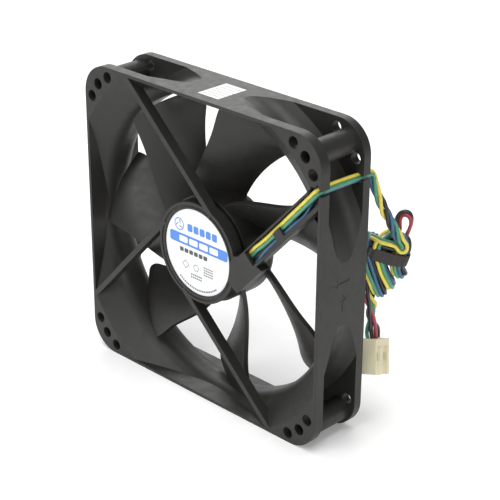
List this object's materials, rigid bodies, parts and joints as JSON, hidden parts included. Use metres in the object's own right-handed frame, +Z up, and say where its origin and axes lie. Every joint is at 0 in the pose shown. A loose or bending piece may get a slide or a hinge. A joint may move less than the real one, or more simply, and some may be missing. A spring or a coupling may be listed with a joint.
{
  "type": "case fan",
  "caption": "Square axial cooling fan with a swept-blade rotor in a ducted frame, four offset struts, a wire channel and a folded, banded lead with its plugs.",
  "frame": {"origin": "middle of the lower edge of the square housing, at half its depth", "axes": "+Y along the rotor axis from the exhaust (strut and label) side at -Y to the intake side, +X to the right seen from the exhaust side, +Z up"},
  "size_m": [0.1284, 0.0494, 0.1201],
  "materials": {
    "housing_plastic": "satin, fine moulded grain",
    "rotor_plastic": "satin",
    "label_paper": "printed film",
    "sticker_paper": "printed paper",
    "brass": "turned",
    "bearing_steel": "ground",
    "steel": "drawn",
    "core_steel": "stacked laminations",
    "magnet": "bonded ferrite",
    "copper": "enamelled wire",
    "insulator_plastic": "moulded nylon",
    "board": "solder mask",
    "chip": "moulded epoxy",
    "ceramic": "fired ceramic",
    "solder": "bright",
    "wire_black": "PVC",
    "wire_yellow": "PVC",
    "wire_green": "PVC",
    "wire_blue": "PVC",
    "wire_red": "PVC",
    "band": "soft band",
    "plug_ivory": "moulded nylon",
    "plug_white": "moulded nylon",
    "tin": "tin plated"
  },
  "bodies": {
    "housing": {"frame": "housing_plastic", "hub_label": "label_paper", "side_sticker": "sticker_paper", "bearing_tube": "brass", "stator_core": "core_steel", "front_insulator": "insulator_plastic", "rear_insulator": "insulator_plastic", "windings": "copper", "terminal_pins": "tin", "circuit_board": "board", "solder_joints": "solder", "hall_sensor": "chip", "driver_chip": "chip", "chip_capacitors": "ceramic", "chip_resistors": "chip", "cable_lead": "wire_yellow", "cable_hank": "wire_blue", "cable_tail": "wire_yellow", "cable_band": "band", "fan_plug": "plug_ivory", "fan_plug_terminals": "tin", "power_riser": "wire_red", "power_loop": "wire_red", "power_drop": "wire_red", "power_plug": "plug_white", "power_plug_pins": "tin", "wire_black": "wire_black", "wire_yellow": "wire_yellow", "wire_green": "wire_green", "wire_blue": "wire_blue", "front_bearing_outer_ring": "bearing_steel", "front_bearing_shields": "bearing_steel", "rear_bearing_outer_ring": "bearing_steel", "rear_bearing_shields": "bearing_steel"},
    "rotor": {"impeller": "rotor_plastic", "rotor_yoke": "steel", "magnet_ring": "magnet", "shaft": "steel", "hub_bushing": "brass", "shaft_washer": "steel", "retaining_clip": "steel", "preload_spring": "steel", "front_bearing_inner_ring": "bearing_steel", "rear_bearing_inner_ring": "bearing_steel"},
    "front_ball_set": {"front_bearing_balls": "bearing_steel", "front_bearing_cage": "brass"},
    "rear_ball_set": {"rear_bearing_balls": "bearing_steel", "rear_bearing_cage": "brass"}
  },
  "joints": [
    {"name": "rotor_spin", "type": "hinge", "parent": "housing", "child": "rotor", "pos_m": [0, 0, 0.06], "axis": [0, 1, 0], "continuous": true},
    {"name": "front_ball_orbit", "type": "hinge", "parent": "housing", "child": "front_ball_set", "pos_m": [0, -0.0078, 0.06], "axis": [0, 1, 0], "continuous": true},
    {"name": "rear_ball_orbit", "type": "hinge", "parent": "housing", "child": "rear_ball_set", "pos_m": [0, 0.0022, 0.06], "axis": [0, 1, 0], "continuous": true}
  ],
  "couplings": [
    {"joint": "front_ball_orbit", "follows": "rotor_spin", "ratio": 0.35564},
    {"joint": "rear_ball_orbit", "follows": "rotor_spin", "ratio": 0.35564}
  ]
}
